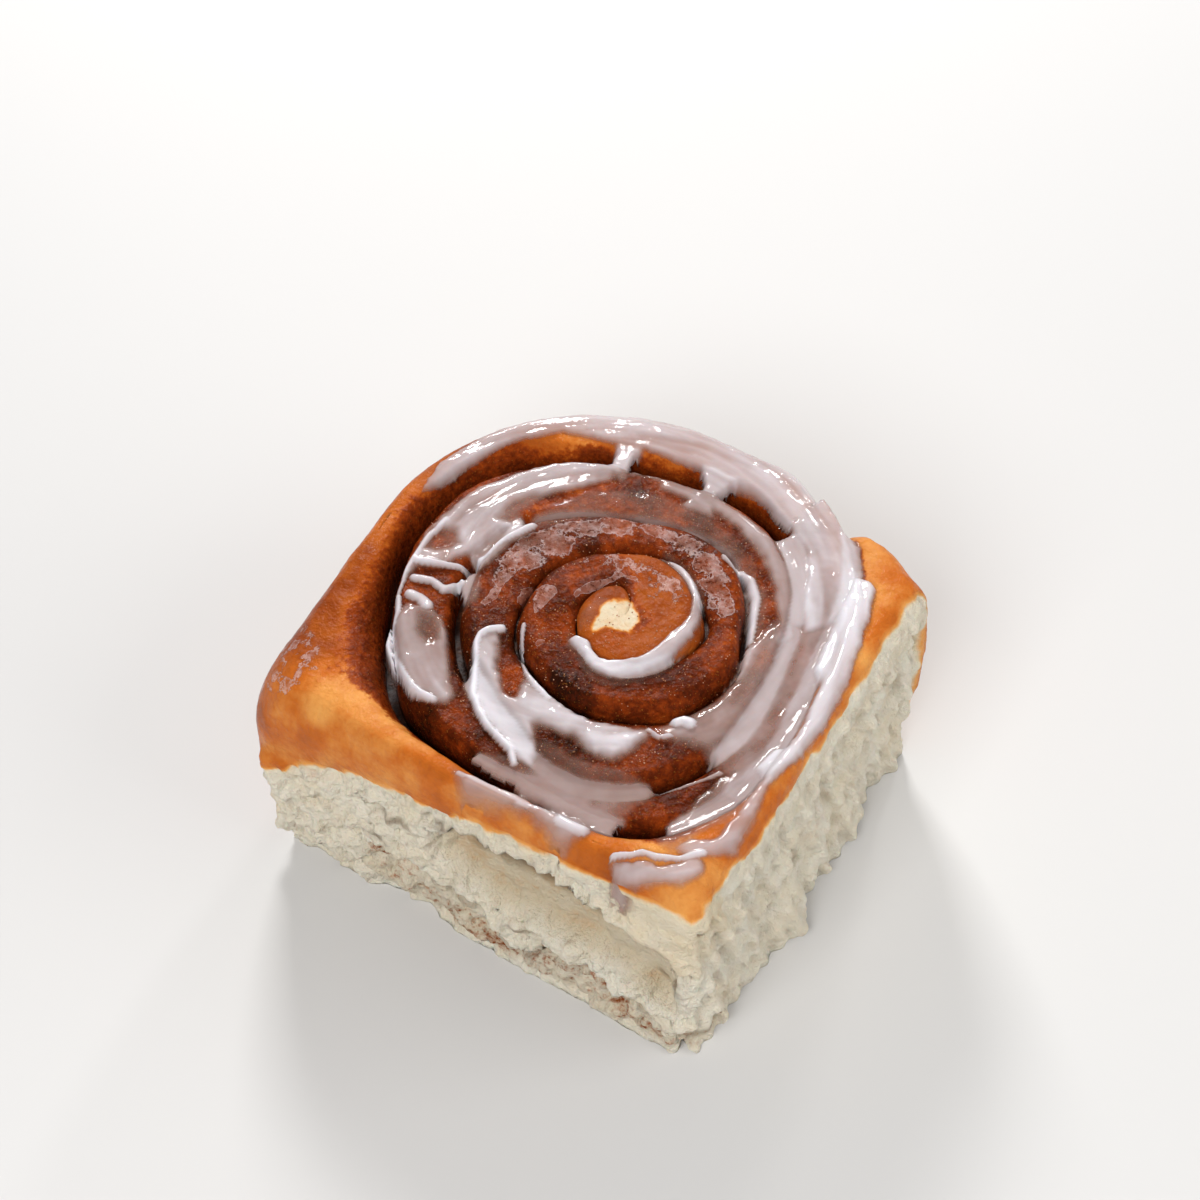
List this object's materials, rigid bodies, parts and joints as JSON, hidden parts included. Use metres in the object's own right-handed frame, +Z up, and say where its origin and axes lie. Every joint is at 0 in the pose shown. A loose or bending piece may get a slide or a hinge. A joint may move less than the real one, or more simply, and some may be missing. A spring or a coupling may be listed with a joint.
{
  "type": "cinnamon roll",
  "caption": "Soft roll of dough wound up round a cinnamon filling, torn on the front and right sides, browned on top and round the back, with patches of white icing.",
  "frame": {"origin": "the middle of the whole roll's box, on the surface that the roll rests on", "axes": "+Z up, out of the swirl; the torn front faces -Y and the torn right side faces +X"},
  "size_m": [0.1044, 0.1026, 0.0608],
  "materials": {
    "dough": "soft baked dough, browned and glazed on top, pale torn crumb at the front and right sides",
    "filling": "dark sticky cinnamon sugar",
    "icing": "smooth glossy sugar icing"
  },
  "bodies": {
    "root": {"dough": "dough", "cinnamon_filling": "filling", "icing_centre": "icing", "icing_stream": "icing", "icing_left": "icing", "icing_back": "icing", "icing_rim": "icing", "icing_right": "icing", "icing_corner": "icing", "icing_front": "icing"}
  },
  "joints": []
}
